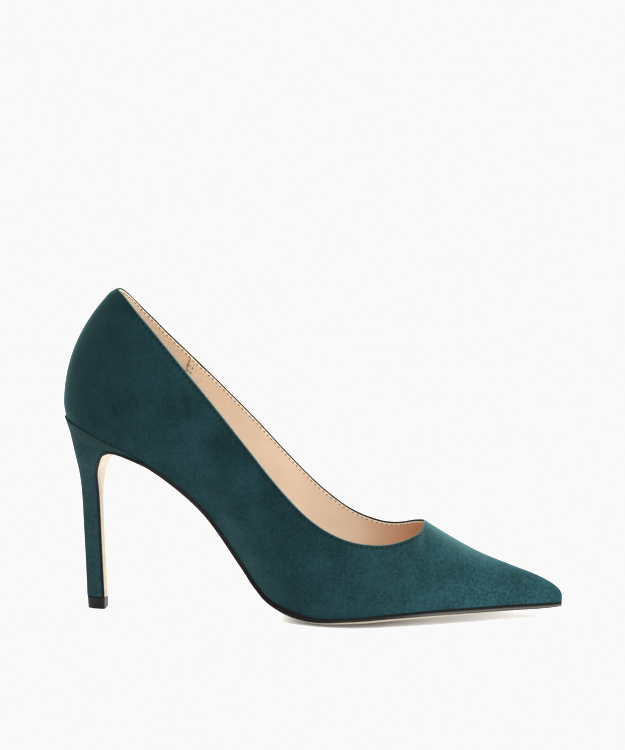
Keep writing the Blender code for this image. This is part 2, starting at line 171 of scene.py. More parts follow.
# Heel from the lift to the seat. back, front: distances along; half: half width at the breast
HEEL = table(
    "back back_z front front_z half",
    (9.0, 5.7, 16.9, 5.7, 4.1),
    (8.4, 22.0, 16.2, 22.0, 4.1),
    (7.6, 40.0, 15.5, 40.0, 4.1),
    (6.9, 55.0, 15.1, 55.0, 5.2),
    (5.9, 65.0, 15.3, 65.5, 9.6),
    (4.6, 71.8, 17.3, 72.0, 14.4),
    (3.5, 76.6, 19.7, 76.3, 17.0),
    (2.5, 80.8, 24.5, 78.1, 18.9),
    (1.4, 85.2, 31.0, 76.9, 20.6),
    (-0.8, 91.9, 40.0, 74.2, 22.0),
)
HEEL_TOP = len(HEEL.back) - 1
CUP_START = 5.0  # ring number where the stem begins to widen into the cup
LIFT_HEIGHT = 5.4
LIFT_HALF_WIDTH = 4.2
LIFT_TAPER = 0.5
LIFT_SIDE_TAPER = 0.1
LIFT_SETBACK = 0.1

# Small distances and steps of the numerical work
SECTION_STEP = 0.02
RIB_STEP = 0.004
SLOPE_STEP = 0.5
OUTLINE_STEP = 0.01
HALVINGS = 40
FINE_STEPS = 1701
TINY = 1e-9
NO_LENGTH = 1e-12
MERGE_METRES = 2e-6
CREASE_ANGLE = math.radians(40)


def linear(hex_colour):
    """Linear red, green, blue and full opacity of an sRGB hex colour."""
    share = np.array([int(hex_colour[i:i + 2], 16) for i in (1, 3, 5)]) / 255
    return [*np.where(share <= 0.04045, share / 12.92, ((share + 0.055) / 1.055) ** 2.4).tolist(), 1.0]


def length_property(name, description, default, least, most):
    """A length that the user can change, from millimetres."""
    return FloatProperty(
        name=name, description=description, default=default * MM, min=least * MM, max=most * MM,
        precision=5, unit="LENGTH", subtype="DISTANCE")


def colour_property(name, description, hex_colour):
    """A colour that the user can change, from an sRGB hex colour."""
    return FloatVectorProperty(
        name=name, description=description, default=linear(hex_colour), size=4, subtype="COLOR",
        min=0.0, max=1.0)


class ShoeSizes(bpy.types.PropertyGroup):
    """Sizes of the dressed pieces."""

    skin: length_property("Suede", "Thickness of the suede with its backing", 1.0, 0.4, 1.4)
    lining_gap: length_property("Lining gap", "Glue line between suede and lining", 0.05, 0.02, 0.2)
    lining_drop: length_property(
        "Lining drop", "How far the lining's edge lies under the folded suede edge", 0.45, 0.0, 2.0)
    groove: length_property(
        "Stitch groove", "Depth that the topline stitches pull into the suede", 0.14, 0.0, 0.4)
    stitch_down: length_property("Stitch distance", "Topline stitches under the topline", 1.5, 1.0, 4.0)
    stitch_pitch: length_property("Stitch pitch", "Distance from stitch to stitch", 2.5, 1.0, 4.0)
    stitch_length: length_property(
        "Stitch length", "Length of thread that shows of each stitch", 1.2, 0.5, 3.0)
    thread: length_property("Thread", "Diameter of the thread", 0.95, 0.2, 1.2)
    seam_along: length_property(
        "Grip seam", "Where the heel grip's seam meets the topline, from the back", 55.7, 40.0, 80.0)
    seam_lap: length_property(
        "Grip lap", "Length over which the front lining laps over the heel grip", 8.0, 4.0, 12.0)
    sock_crown: length_property("Sock crown", "How much the sock rises in its middle", 0.5, 0.0, 2.0)
    columns: IntProperty(
        name="Columns", description="Columns of the upper from the back to the throat", default=120,
        min=24, max=240)


class ShoeColours(bpy.types.PropertyGroup):
    """Colours of the finishes."""

    suede_dark: colour_property(
        "Suede, nap down", "Suede where the nap lies away from the light", "#1e3f43")
    suede_light: colour_property(
        "Suede, nap up", "Suede where the nap stands towards the light", "#305c64")
    suede_sheen: colour_property(
        "Suede sheen", "Light that the fibre tips catch at a low angle", "#74b9b6")
    # Painted highlight on the collar's folded edge and on the ridge ahead of the throat
    suede_highlight: colour_property(
        "Suede rim", "Folded edge of the collar where its nap catches the light", "#4f706e")
    # Painted shade on the inward half of the collar's folded edge
    rim_shade: colour_property(
        "Rim inside", "Folded edge of the collar towards the lining, stained dark", "#1c1512")
    heel_dark: colour_property(
        "Heel suede, nap down", "Suede of the heel cover, a little greyer", "#1b3033")
    heel_light: colour_property(
        "Heel suede, nap up", "Suede of the heel cover where its nap stands up", "#233c40")
    lining: colour_property("Lining", "Smooth lining leather", "#e7d7c5")
    # Painted shade: the dark line where the front lining laps over the heel grip
    seam: colour_property(
        "Grip seam", "Raw edge of the front lining where it laps over the heel grip", "#6b4128")
    lining_edge: colour_property("Lining edge", "Cut edge of the lining leather", "#e6d5bc")
    sole: colour_property("Sole", "Cream sole and breast flap", "#bbb09c")
    edge_paint: colour_property("Edge paint", "Black paint on the sole's edge", "#0d0d0e")
    # Painted highlight: the grey that stands in for the gloss on the toe's rounded edge
    edge_highlight_grey: colour_property("Rubbed edge", "Paint of the toe's edge where it is rubbed grey", "#605e59")
    lift: colour_property("Lift", "Moulded lift under the heel", "#131215")
    thread: colour_property("Thread", "Topline thread on the suede", "#06100f")
    lining_thread: colour_property("Lining thread", "Thread on the lining", "#6e4c32")
    floor: colour_property("Floor", "Pale studio floor", "#cccccc")


def shares(steps, crowding=1.0):
    """Shares from 0 to 1: even, or 1 - (1 - share) ** crowding, which lie closer together near 1."""
    share = np.linspace(0, 1, steps + 1)
    return share if crowding == 1.0 else 1 - (1 - share) ** crowding


def ease(x, start, end):
    """0 up to start and 1 from end, with 3 f f - 2 f f f between."""
    f = np.clip((x - start) / (end - start), 0.0, 1.0)
    return f * f * (3 - 2 * f)


def sine_rise(share):
    """A quarter of a sine: 0 at a share of 0, and 1 from a share of 1."""
    return np.sin(np.minimum(share, 1.0) * math.pi / 2)


def fade(distance, width):
    """Bell curve: 1 at no distance, near 0 past two widths."""
    return np.exp(-(distance / width) ** 2)


def unit(vectors):
    """Vectors of length 1."""
    return vectors / np.maximum(np.linalg.norm(vectors, axis=-1, keepdims=True), NO_LENGTH)


def curve_through(x, knots, values):
    """Smooth curve through rows: cubic pieces whose slopes come from the neighbouring rows."""
    slopes = np.gradient(values, knots)
    i = np.clip(np.searchsorted(knots, x, side="right") - 1, 0, len(knots) - 2)
    width = knots[i + 1] - knots[i]
    f = (x - knots[i]) / width
    start = (1 + 2 * f) * (1 - f) ** 2 * values[i] + f * (1 - f) ** 2 * width * slopes[i]
    end = f * f * (3 - 2 * f) * values[i + 1] - f * f * (1 - f) * width * slopes[i + 1]
    return start + end


def section(name, u):
    """One column of the section table at section number u, mirrored or run through past its ends."""
    values = getattr(SECTIONS, name)
    before = 2 * values[0] - values[1] if name in PASSES_BACK else values[1]
    after = 2 * values[-1] - values[-2] if name in PASSES_TOE else values[-2]
    rows = np.concatenate(([before], values, [after]))
    return SCALES.get(name, 1.0) * curve_through(u, np.arange(-1.0, len(values) + 1), rows)


LAST_SECTION = len(SECTIONS.along) - 1
FINE_U = np.linspace(0.0, LAST_SECTION, FINE_STEPS)
FINE_ALONG = section("along", FINE_U)


def number_at(along):
    """Section number u at a distance along the last."""
    return np.interp(along, FINE_ALONG, FINE_U)


def heel_table(name, h):
    """One column of the heel table at ring number h."""
    return curve_through(h, np.arange(HEEL_TOP + 1.0), getattr(HEEL, name))


def centre_line(along):
    """Sideways place and slope of the centre line: a hyperbola between the heel's and the toe's line."""
    mean = (math.tan(TOE_SWING) - math.tan(HEEL_SWING)) / 2
    half = (math.tan(TOE_SWING) + math.tan(HEEL_SWING)) / 2
    away = along - SWING_ALONG
    reach = np.sqrt(away ** 2 + SWING_BLEND ** 2)
    return mean * away + half * (reach - SWING_BLEND), mean + half * away / reach


def place(along, offset, z):
    """Points at a distance along, an offset square to the centre line and a height."""
    side, slope = centre_line(along)
    x = along - offset * slope
    return np.stack(np.broadcast_arrays(x, side + offset, z), axis=-1)


def counter_lean(along, up):
    """How far a rib of the counter leans forward at a height above the seat."""
    forward = COUNTER_LEAN * (up / COUNTER_RISE) ** COUNTER_POWER
    bulge = COUNTER_BULGE * sine_rise(up / COUNTER_BULGE_RISE)
    curl = COUNTER_CURL * np.clip((up - CURL_START) / (CURL_END - CURL_START), 0.0, 1.0) ** 2
    fades = 0.5 + 0.5 * np.cos(math.pi * np.minimum(along / COUNTER_REACH, 1.0))
    return (forward - bulge + curl) * fades


def last_point(s, t):
    """The last's surface: the rib at section |s| rises from the feather edge (t = 0) to the crest (t = 1).

    Height is the section's height times v = sin(t pi / 2); the half width swells by the belly and then
    closes by sqrt(1 - v ** full).
    """
    u = np.abs(s)
    along = section("along", u)
    seat = section("seat", u)
    v = sine_rise(t)
    up = (section("crest", u) - seat) * v
    swell = section("belly", u) * sine_rise(up / section("rise", u))
    foot = np.where(s < 0, section("out", u), section("inn", u)) + swell
    half = foot * np.sqrt(np.maximum(1 - v ** section("full", u), 0.0))
    return place(along + counter_lean(along, up), np.where(s < 0, -1, 1) * half, seat + up)


def last_normal(s, t):
    """Outward normal of the last: a small step up the rib crossed with a small step round the last."""
    around = last_point(s + SECTION_STEP, t) - last_point(s - SECTION_STEP, t)
    above = last_point(s, np.minimum(t + RIB_STEP, 1.0))
    upwards = above - last_point(s, np.maximum(t - RIB_STEP, 0.0))
    return unit(np.cross(upwards, around))


def ridge_normal(s, t):
    """Outward normal, with the mean of both sides where they meet on the crest and at the toe tip."""
    normal = last_normal(s, t)
    shared = (t >= 1.0) | (np.abs(s) >= LAST_SECTION)
    return np.where(shared[..., None], unit(normal + last_normal(-s, t)), normal)


def throat_number(lower):
    """Section number of the throat of a line that lies lower than the topline."""
    return float(number_at(THROAT_ALONG + lower))


def cut_share(s, lower):
    """Share of each rib under a line that lies lower than the topline by a distance square to it.

    Found by halving, and 1 past the throat, which moves forward by the same distance.
    """
    u = np.abs(s)
    throat = THROAT_ALONG + lower
    along = np.append(TOPLINE.along, throat)
    heights = []
    for rows in (TOPLINE.out, TOPLINE.inn):
        stretch = np.hypot(1.0, np.gradient(rows, TOPLINE.along))
        stretch[0] = 1.0
        heights.append(np.append(rows - lower * stretch, section("crest", number_at(throat))))
    foot = section("along", u)
    seat = section("seat", u)
    rise = section("crest", u) - seat
    low, high = np.zeros(u.shape), np.ones(u.shape)
    for _ in range(HALVINGS):
        t = (low + high) / 2
        up = rise * sine_rise(t)
        x = foot + counter_lean(foot, up)
        limit = np.where(s < 0, *(curve_through(x, along, line) for line in heights))
        below = seat + up < limit
        low = np.where(below, t, low)
        high = np.where(below, high, t)
    return np.where(u < throat_number(lower) - TINY, high, 1.0)


def collar_loop(s, lower):
    """Edge points, outward normals and upward directions of a closed line round the collar.

    The upward direction is square to the edge and lies in the last's surface: edge tangent x normal.
    """
    t = cut_share(s, lower)
    t[[0, -1]] = 1.0
    edge = last_point(s, t)
    normal = ridge_normal(s, t)
    tangent = np.empty_like(edge)
    tangent[1:-1] = edge[2:] - edge[:-2]
    tangent[[0, -1]] = edge[1] - edge[-2]
    return edge, normal, unit(np.cross(tangent, normal))


def frame_shift():
    """Millimetres from the last's own place to the frame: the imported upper's toe tip is the last's."""
    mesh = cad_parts["upper"].data
    points = np.empty(3 * len(mesh.vertices), np.float32)
    mesh.vertices.foreach_get("co", points)
    points = points.reshape(-1, 3) / MM
    tip = points[points[:, 0].argmax()]
    return np.array([1.0, 1.0, 0.0]) * (tip - place(LAST_LENGTH, 0.0, 0.0))


FRAME_SHIFT = frame_shift()


def add_object(name, data):
    """New object in the scene."""
    made = bpy.data.objects.new(name, data)
    bpy.context.scene.collection.objects.link(made)
    return made


def piece(name, grids, finishes, replaced=None, parts=None, marks=None):
    """One piece from grids of millimetre points: doubles merged, faces outwards, riding on the shoe.

    Faces are quads between neighbouring rows and columns. parts gives each grid's faces a material number.
    marks gives points a named value, by grid number, and 0 on the other grids.
    """
    start, faces, numbers = 0, [], []
    for grid, part in zip(grids, parts or [0] * len(grids)):
        ids = start + np.arange(grid[..., 0].size).reshape(grid.shape[:2])
        corners = (ids[:-1, :-1], ids[1:, :-1], ids[1:, 1:], ids[:-1, 1:])
        faces.append(np.stack(corners, axis=-1).reshape(-1, 4))
        numbers.append(np.full(len(faces[-1]), part, np.int32))
        start += ids.size
    points = np.concatenate([grid.reshape(-1, 3) for grid in grids])
    mesh = bpy.data.meshes.new(name)
    mesh.from_pydata(((points + FRAME_SHIFT) * MM).tolist(), [], np.concatenate(faces).tolist())
    mesh.polygons.foreach_set("material_index", np.concatenate(numbers))
    for mark, values in (marks or {}).items():
        flat = [np.broadcast_to(values.get(i, 0.0), grid.shape[:2]).ravel() for i, grid in enumerate(grids)]
        marked = mesh.attributes.new(mark, "FLOAT", "POINT").data
        marked.foreach_set("value", np.concatenate(flat).astype(np.float32))
    for finished in finishes:
        mesh.materials.append(finished)
    work = bmesh.new()
    work.from_mesh(mesh)
    bmesh.ops.remove_doubles(work, verts=work.verts, dist=MERGE_METRES)
    bmesh.ops.dissolve_degenerate(work, edges=work.edges, dist=MERGE_METRES)
    bmesh.ops.recalc_face_normals(work, faces=work.faces)
    loose = [tuple(edge.verts[0].co) for edge in work.edges if not edge.is_manifold]
    if loose:
        raise RuntimeError(f"{name} isn't closed at {len(loose)} edges, from {loose[0]} to {loose[-1]}")
    work.to_mesh(mesh)
    work.free()
    mesh.shade_smooth()
    mesh.set_sharp_from_angle(angle=CREASE_ANGLE)
    made = add_object(name, mesh)
    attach(made, "root")
    if replaced:
        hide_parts(replaced)


# The output that a link takes from a node, where that isn't the first
RESULT = {"Mix": 2, "Attribute": "Fac", "TexWave": "Fac", "AmbientOcclusion": "AO", "TexCoord": "Object"}
COLOUR = {"data_type": "RGBA"}
TIMES = {"data_type": "RGBA", "blend_type": "MULTIPLY"}
MIDDLE = {"From_Min": 0.3, "From_Max": 0.7}  # where most values of a noise lie


def node(tree, kind, at=None, **values):
    """Add a node with its settings, which have small letters, and fill its sockets.

    A socket is given by its number in at, or by its name with _ for a space. It takes a value, or a link
    from a socket or from another node's result.
    """
    made = tree.nodes.new("ShaderNode" + kind)
    sockets = dict(at or {})
    for name, value in values.items():
        if name.islower():
            setattr(made, name, value)
        else:
            sockets[name.replace("_", " ")] = value
    for key, value in sockets.items():
        if isinstance(value, bpy.types.Node):
            value = value.outputs[RESULT.get(value.bl_idname[len("ShaderNode"):], 0)]
        if isinstance(value, bpy.types.NodeSocket):
            tree.links.new(value, made.inputs[key])
        else:
            made.inputs[key].default_value = value
    return made


def finish_of(name, build, *values):
    """The material of that name, made once: build adds its nodes and gives back its shader."""
    made = bpy.data.materials.get(name)
    if not made:
        made = bpy.data.materials.new(name)
        made.use_nodes = True
        made.node_tree.nodes.clear()
        add = partial(node, made.node_tree)
        add("OutputMaterial", Surface=build(add, *values))
    return made


def per_metre(size):
    """Pattern scale whose features are about this many millimetres across."""
    return 1.0 / (size * MM)


# Sizes of the finishes' patterns, in millimetres
CLOUD_SIZE = 18.0
NAP_SIZE = 1.1  # coarser than real nap, so that it shows in the picture
FIBRE_SIZE = 0.55
LINING_CLOUD = 22.0
PORE_SIZE = 0.8
GRAIN_SIZE = 0.5
SOLE_CLOUD = 14.0
SOLE_GRAIN = 0.6
BRUSH_WAVE = 1.6
MOULD_GRAIN = 0.5
TWIST = 0.35

CLOUD_CONTRAST = 2.0
NAP_CONTRAST = 3.24
NAP_CALM = 0.1  # share of the nap's contrast in the darkest suede, and its growth with the tone
NAP_LIVELIER = 1.35
SUEDE_SHEEN = 0.55
HEEL_SHEEN = 0.15
# Tone of the suede along the shoe, and up the heel: painted shade, darker towards the back and lighter
# towards the toe as the light falls there; nearly even up the heel
NAP_ALONG = ((-117.0, 0.21), (-60.0, 0.36), (-5.0, 0.34), (45.0, 0.54), (75.0, 0.8), (117.0, 0.8))
NAP_UP_HEEL = ((0.0, 0.97), (52.0, 0.98), (76.0, 0.95), (92.0, 0.95))
# Tone of the lining along the shoe, painted shade: a little darker at the back, and darker and warmer deep
# towards the toe, where the shoe shades its lining
LINING_BACK = (0.87, 0.82, 0.76)
LINING_DEEP = (0.8, 0.5, 0.36)
LINING_ALONG = (
    (-117.0, LINING_BACK), (-55.0, LINING_BACK), (-10.0, 0.97), (20.0, 0.97), (50.0, LINING_DEEP),
    (90.0, 0.4),
)


def tone_along(add, where, axis, stops):
    """Ramp through (millimetres, tone) stops along an axis of the shoe, grey or coloured."""
    first, last = stops[0][0], stops[-1][0]
    along = add("SeparateXYZ", Vector=where).outputs[axis]
    share = add("MapRange", Value=along, From_Min=first * MM, From_Max=last * MM)
    ramp = add("ValToRGB", Fac=share)
    elements = ramp.color_ramp.elements
    for _ in stops[2:]:
        elements.new(0.5)
    for element, (at, tone) in zip(elements, stops):
        element.position = (at - first) / (last - first)
        element.color = (*np.broadcast_to(tone, 3), 1.0)
    return ramp


def suede(add, colours, dark, light, shadow, sheen, axis, stops):
    """Suede buffed to a short nap: matt, faint clouds where the nap lies two ways, fine fibres, with painted
    light:
    a tone along the shoe, a painted highlight where the mark rim is above 0, painted shade where it is below
    0.
    """
    where = add("TexCoord")
    clouds = add("TexNoise", Vector=where, Scale=per_metre(CLOUD_SIZE), Detail=4.0, Roughness=0.62)
    nap = add("TexNoise", Vector=where, Scale=per_metre(NAP_SIZE), Detail=3.0, Roughness=0.65)
    fibres = add("TexNoise", Vector=where, Scale=per_metre(FIBRE_SIZE), Detail=2.0, Roughness=0.6)
    cloud = add("MapRange", Value=clouds, To_Min=0.5 - CLOUD_CONTRAST / 2, To_Max=0.5 + CLOUD_CONTRAST / 2)
    lie = add("MapRange", Value=nap, To_Min=-NAP_CONTRAST / 2, To_Max=NAP_CONTRAST / 2)
    tone = tone_along(add, where, axis, stops)
    lively = add("Math", {0: tone, 1: NAP_LIVELIER, 2: NAP_CALM}, operation="MULTIPLY_ADD")
    spread = add("Math", {0: lie, 1: lively, 2: cloud}, operation="MULTIPLY_ADD", use_clamp=True)
    body = add("Mix", {0: spread, 6: dark, 7: light}, **COLOUR)
    # painted shade: the suede's colour times its tone along the shoe
    nap_and_shade = add("Mix", {0: 1.0, 6: body, 7: tone}, **TIMES)
    # rim mark: above 0 a painted highlight, below 0 painted shade in the shadow colour
    rim = add("Attribute", attribute_name="rim")
    outside = add("Math", {0: rim, 1: 0.0}, operation="MAXIMUM")
    inside = add("Math", {0: rim, 1: -1.0}, operation="MULTIPLY", use_clamp=True)
    paler = add("Mix", {0: outside, 6: nap_and_shade, 7: colours.suede_highlight}, **COLOUR)
    colour = add("Mix", {0: inside, 6: paler, 7: shadow}, **COLOUR)
    bump = add("Bump", Height=fibres, Strength=0.35, Distance=0.25 * MM)
    return add(
        "BsdfPrincipled", Base_Color=colour, Roughness=0.95, IOR=1.4, Specular_IOR_Level=0.12, Normal=bump,
        Sheen_Weight=sheen, Sheen_Roughness=0.35, Sheen_Tint=colours.suede_sheen)


def lining_leather(add, colours):
    """Smooth pig or sheep lining leather, drum finished: satin, fine pores, pale where it is cut; painted
    shade along the shoe and along the grip seam.
    """
    where = add("TexCoord")
    clouds = add("TexNoise", Vector=where, Scale=per_metre(LINING_CLOUD), Detail=2.0)
    tone = add("MapRange", Value=clouds, To_Min=0.93, To_Max=1.03, **MIDDLE)
    even = add("Mix", {0: 1.0, 6: colours.lining, 7: tone}, **TIMES)
    # painted shade along the shoe
    body = add("Mix", {0: 1.0, 6: even, 7: tone_along(add, where, 0, LINING_ALONG)}, **TIMES)
    edge = add("Attribute", attribute_name="cut_edge")
    cut = add("Mix", {0: edge, 6: body, 7: colours.lining_edge}, **COLOUR)
    # painted shade along the grip seam
    seam = add("Attribute", attribute_name="seam_line")
    colour = add("Mix", {0: seam, 6: cut, 7: colours.seam}, **COLOUR)
    pores = add("TexVoronoi", Vector=where, Scale=per_metre(PORE_SIZE))
    grain = add("TexNoise", Vector=where, Scale=per_metre(GRAIN_SIZE), Detail=3.0)
    relief = add("Math", {0: pores, 1: grain}, operation="ADD")
    bump = add("Bump", Height=relief, Strength=0.12, Distance=0.12 * MM)
    return add(
        "BsdfPrincipled", Base_Color=colour, Roughness=0.5, IOR=1.45, Specular_IOR_Level=0.35, Normal=bump)


def sole_leather(add, colours):
    """Cream finished sole leather, pressed and polished: satin, faintly clouded, with a fine grain."""
    where = add("TexCoord")
    clouds = add("TexNoise", Vector=where, Scale=per_metre(SOLE_CLOUD), Detail=4.0)
    tone = add("MapRange", Value=clouds, To_Min=0.94, To_Max=1.02, **MIDDLE)
    colour = add("Mix", {0: 1.0, 6: colours.sole, 7: tone}, **TIMES)
    grain = add("TexNoise", Vector=where, Scale=per_metre(SOLE_GRAIN), Detail=3.0)
    bump = add("Bump", Height=grain, Strength=0.1, Distance=0.1 * MM)
    return add(
        "BsdfPrincipled", Base_Color=colour, Roughness=0.42, IOR=1.45, Specular_IOR_Level=0.4, Normal=bump)


def edge_paint(add, colours):
    """Black edge paint, brushed on and dried: deep black with a soft gloss and slight waves."""
    where = add("TexCoord")
    waves = add("TexNoise", Vector=where, Scale=per_metre(BRUSH_WAVE), Detail=2.0)
    gloss = add("MapRange", Value=waves, To_Min=0.34, To_Max=0.5, **MIDDLE)
    bump = add("Bump", Height=waves, Strength=0.15, Distance=0.1 * MM)
    # painted highlight on the rounded edge
    rubbed = add("Attribute", attribute_name="rubbed")
    colour = add("Mix", {0: rubbed, 6: colours.edge_paint, 7: colours.edge_highlight_grey}, **COLOUR)
    return add(
        "BsdfPrincipled", Base_Color=colour, Roughness=gloss, IOR=1.5, Specular_IOR_Level=0.12, Normal=bump)


def polyurethane(add, colours):
    """Injection moulded polyurethane: near black, satin, with a fine mould texture."""
    where = add("TexCoord")
    texture = add("TexNoise", Vector=where, Scale=per_metre(MOULD_GRAIN), Detail=2.0)
    gloss = add("MapRange", Value=texture, To_Min=0.32, To_Max=0.45, **MIDDLE)
    bump = add("Bump", Height=texture, Strength=0.15, Distance=0.08 * MM)
    return add(
        "BsdfPrincipled", Base_Color=colours.lift, Roughness=gloss, IOR=1.5, Specular_IOR_Level=0.14,
        Normal=bump)


def waxed_thread(add, colour):
    """Twisted polyester thread, waxed: matt with a fine twist across it."""
    where = add("TexCoord")
    twist = add("TexWave", Vector=where, Scale=per_metre(TWIST), Distortion=1.0, bands_direction="DIAGONAL")
    shade = add("MapRange", Value=twist, To_Min=0.75, To_Max=1.1)
    tone = add("Mix", {0: 1.0, 6: colour, 7: shade}, **TIMES)
    bump = add("Bump", Height=twist, Strength=0.3, Distance=0.08 * MM)
    return add(
        "BsdfPrincipled", Base_Color=tone, Roughness=0.75, IOR=1.5, Specular_IOR_Level=0.25, Normal=bump)


def glowing_floor(add, colours):
    """White studio floor that glows evenly, its glow dimmed near the shoe as a painted shadow: only the
    closest shadows show.
    """
    matt = add("BsdfDiffuse", Color=colours.floor, Roughness=0.5)
    # painted shadow: the glow fades where the shoe is near
    clear = add("AmbientOcclusion", Distance=GLOW_REACH * MM, samples=GLOW_SAMPLES)
    strength = add("Math", {0: clear, 1: FLOOR_GLOW}, operation="MULTIPLY")
    return add("AddShader", {0: matt, 1: add("Emission", Strength=strength)})


REAR_CROWDING = 1.7  # larger puts more columns near the throat
TOE_COLUMNS = 44
SKIN_ROWS = 64
SKIN_CROWDING = 1.8  # larger puts more rows near the topline
INNER_ROWS = 16
BEAD_STEPS = 8
TUCK_DEPTH = 0.1
TOE_THIN_START = 210.0
TOE_SKIN = 0.5  # share of the suede's thickness left at the toe tip
GROOVE_WIDTH = 0.5
RIM_TURN = 0.42 * math.pi  # where the folded edge turns from its painted highlight to its painted shade
RIM_DARKENING = 5.0  # how soon it turns
# Painted highlight on the ridge ahead of the throat: its share, its width, and where along the last it grows
# and fades
RIDGE_HIGHLIGHT = 0.55
RIDGE_WIDTH = 7.0
RIDGE_GROWS = (164.0, 171.0)
RIDGE_FADES = (178.0, 212.0)


def round_the_last(sizes, throat, toe=()):
    """Section numbers of columns once round: close together at the throat, with one on it each side."""
    side = np.concatenate((throat * shares(sizes.columns, REAR_CROWDING), toe))
    return np.concatenate((-side[::-1], side[1:]))


def half_round(edge, normal, upward, thickness, height):
    """Rounded edge: half an ellipse from outer to inner skin, edge + across * normal + rise * upward."""
    a = np.linspace(0.0, math.pi, BEAD_STEPS + 1)[None, :, None]
    across = thickness / 2 * (np.cos(a) - 1)
    return edge[:, None] + across * normal[:, None] + height * np.sin(a) * upward[:, None]


class SHOE_OT_upper(bpy.types.Operator):
    """Suede upper: the last's own surface, folded over in a round edge at the collar"""

    bl_idname = "shoe.make_upper"
    bl_label = "Suede upper"

    def execute(self, context):
        sizes, colours = context.scene.shoe_sizes, context.scene.shoe_colours
        skin = sizes.skin / MM
        fold = skin / 2
        throat = throat_number(fold)
        s = round_the_last(sizes, throat, np.linspace(throat, LAST_SECTION, TOE_COLUMNS + 1)[1:])
        along = section("along", np.abs(s))
        collar = np.abs(s) <= throat + TINY
        top = cut_share(s, fold)
        edge, normal, upward = collar_loop(s[collar], fold)

        t = top[:, None] * shares(SKIN_ROWS, SKIN_CROWDING)
        outer, outward = last_point(s[:, None], t), ridge_normal(s[:, None], t)
        nearest = np.where(collar, np.cumsum(collar) - 1, 0)
        below = ((edge[nearest][:, None] - outer) * upward[nearest][:, None]).sum(axis=-1)
        groove_at = sizes.stitch_down / MM - fold
        outer = outer - (sizes.groove / MM * fade(below - groove_at, GROOVE_WIDTH))[..., None] * outward

        inner_t = top[:, None] * shares(INNER_ROWS)
        depth = (skin * (1 - (1 - TOE_SKIN) * ease(along, TOE_THIN_START, LAST_LENGTH)))[:, None, None]
        inner = last_point(s[:, None], inner_t) - depth * ridge_normal(s[:, None], inner_t)
        bead = half_round(edge, normal, upward, skin, fold)
        bead[:, 0], bead[:, -1] = outer[collar, -1], inner[collar, -1]

        foot, foot_out = outer[:, 0], outward[:, 0]
        round_foot = np.gradient(foot, axis=0)
        round_foot[[0, -1]] = foot[1] - foot[-2]
        tuck = half_round(foot, foot_out, np.cross(foot_out, unit(round_foot)), depth, TUCK_DEPTH)
        tuck[:, -1] = inner[:, 0]

        # Painted light on the folded edge: a painted highlight on its outward half, painted shade on its
        # inward half
        a = np.linspace(0.0, math.pi, BEAD_STEPS + 1)
        dark = np.minimum(RIM_DARKENING * (a - RIM_TURN), 1.0)
        rim = np.where(a < RIM_TURN, np.sin(math.pi * a / RIM_TURN), -dark)
        # Painted highlight along the ridge ahead of the throat
        lit = ease(along, *RIDGE_GROWS) * (1 - ease(along, *RIDGE_FADES))
        down = np.linalg.norm(outer - outer[:, -1:], axis=-1)
        ridge = RIDGE_HIGHLIGHT * lit[:, None] * fade(down, RIDGE_WIDTH)
        teal = finish_of(
            "teal_suede", suede, colours, colours.suede_dark, colours.suede_light, colours.rim_shade,
            SUEDE_SHEEN, 0, NAP_ALONG)
        piece("upper_suede", [outer, inner[:, ::-1], bead, tuck], [teal], "upper",
              marks={"rim": {0: ridge, 2: rim}})
        return {"FINISHED"}


LAP_THICKNESS = 0.4
LINING_FRONT = 206.0
LINING_COLUMNS = 90
LINING_TOE_COLUMNS = 26
LINING_ROWS = 40
GRIP_COLUMNS = 60
GRIP_LEAST = 0.1  # thickness that the heel grip keeps under the lap
SEAM_SLANT = 15.0  # how far back the grip's seam lies at the feather edge
SEAM_LINE = (0.0, 0.4, 0.55)  # painted shade along the grip seam, on the front lining's edge, and where it ends
PALE_EDGE = 0.4  # how far down the lining its cut edge looks pale
LINING_SHARES = shares(LINING_ROWS, SKIN_CROWDING)[None, :]


def seam_number(sizes, share):
    """Section number of the heel grip's seam at a share of the rib: it slants back towards the seat."""
    return number_at(sizes.seam_along / MM - SEAM_SLANT * (1 - share))


def lap_share(sizes, ahead):
    """How far the front lining still laps over the grip: 1 at the seam, 0 where the lap ends."""
    return 1 - ease(ahead, 0.0, sizes.seam_lap / MM)


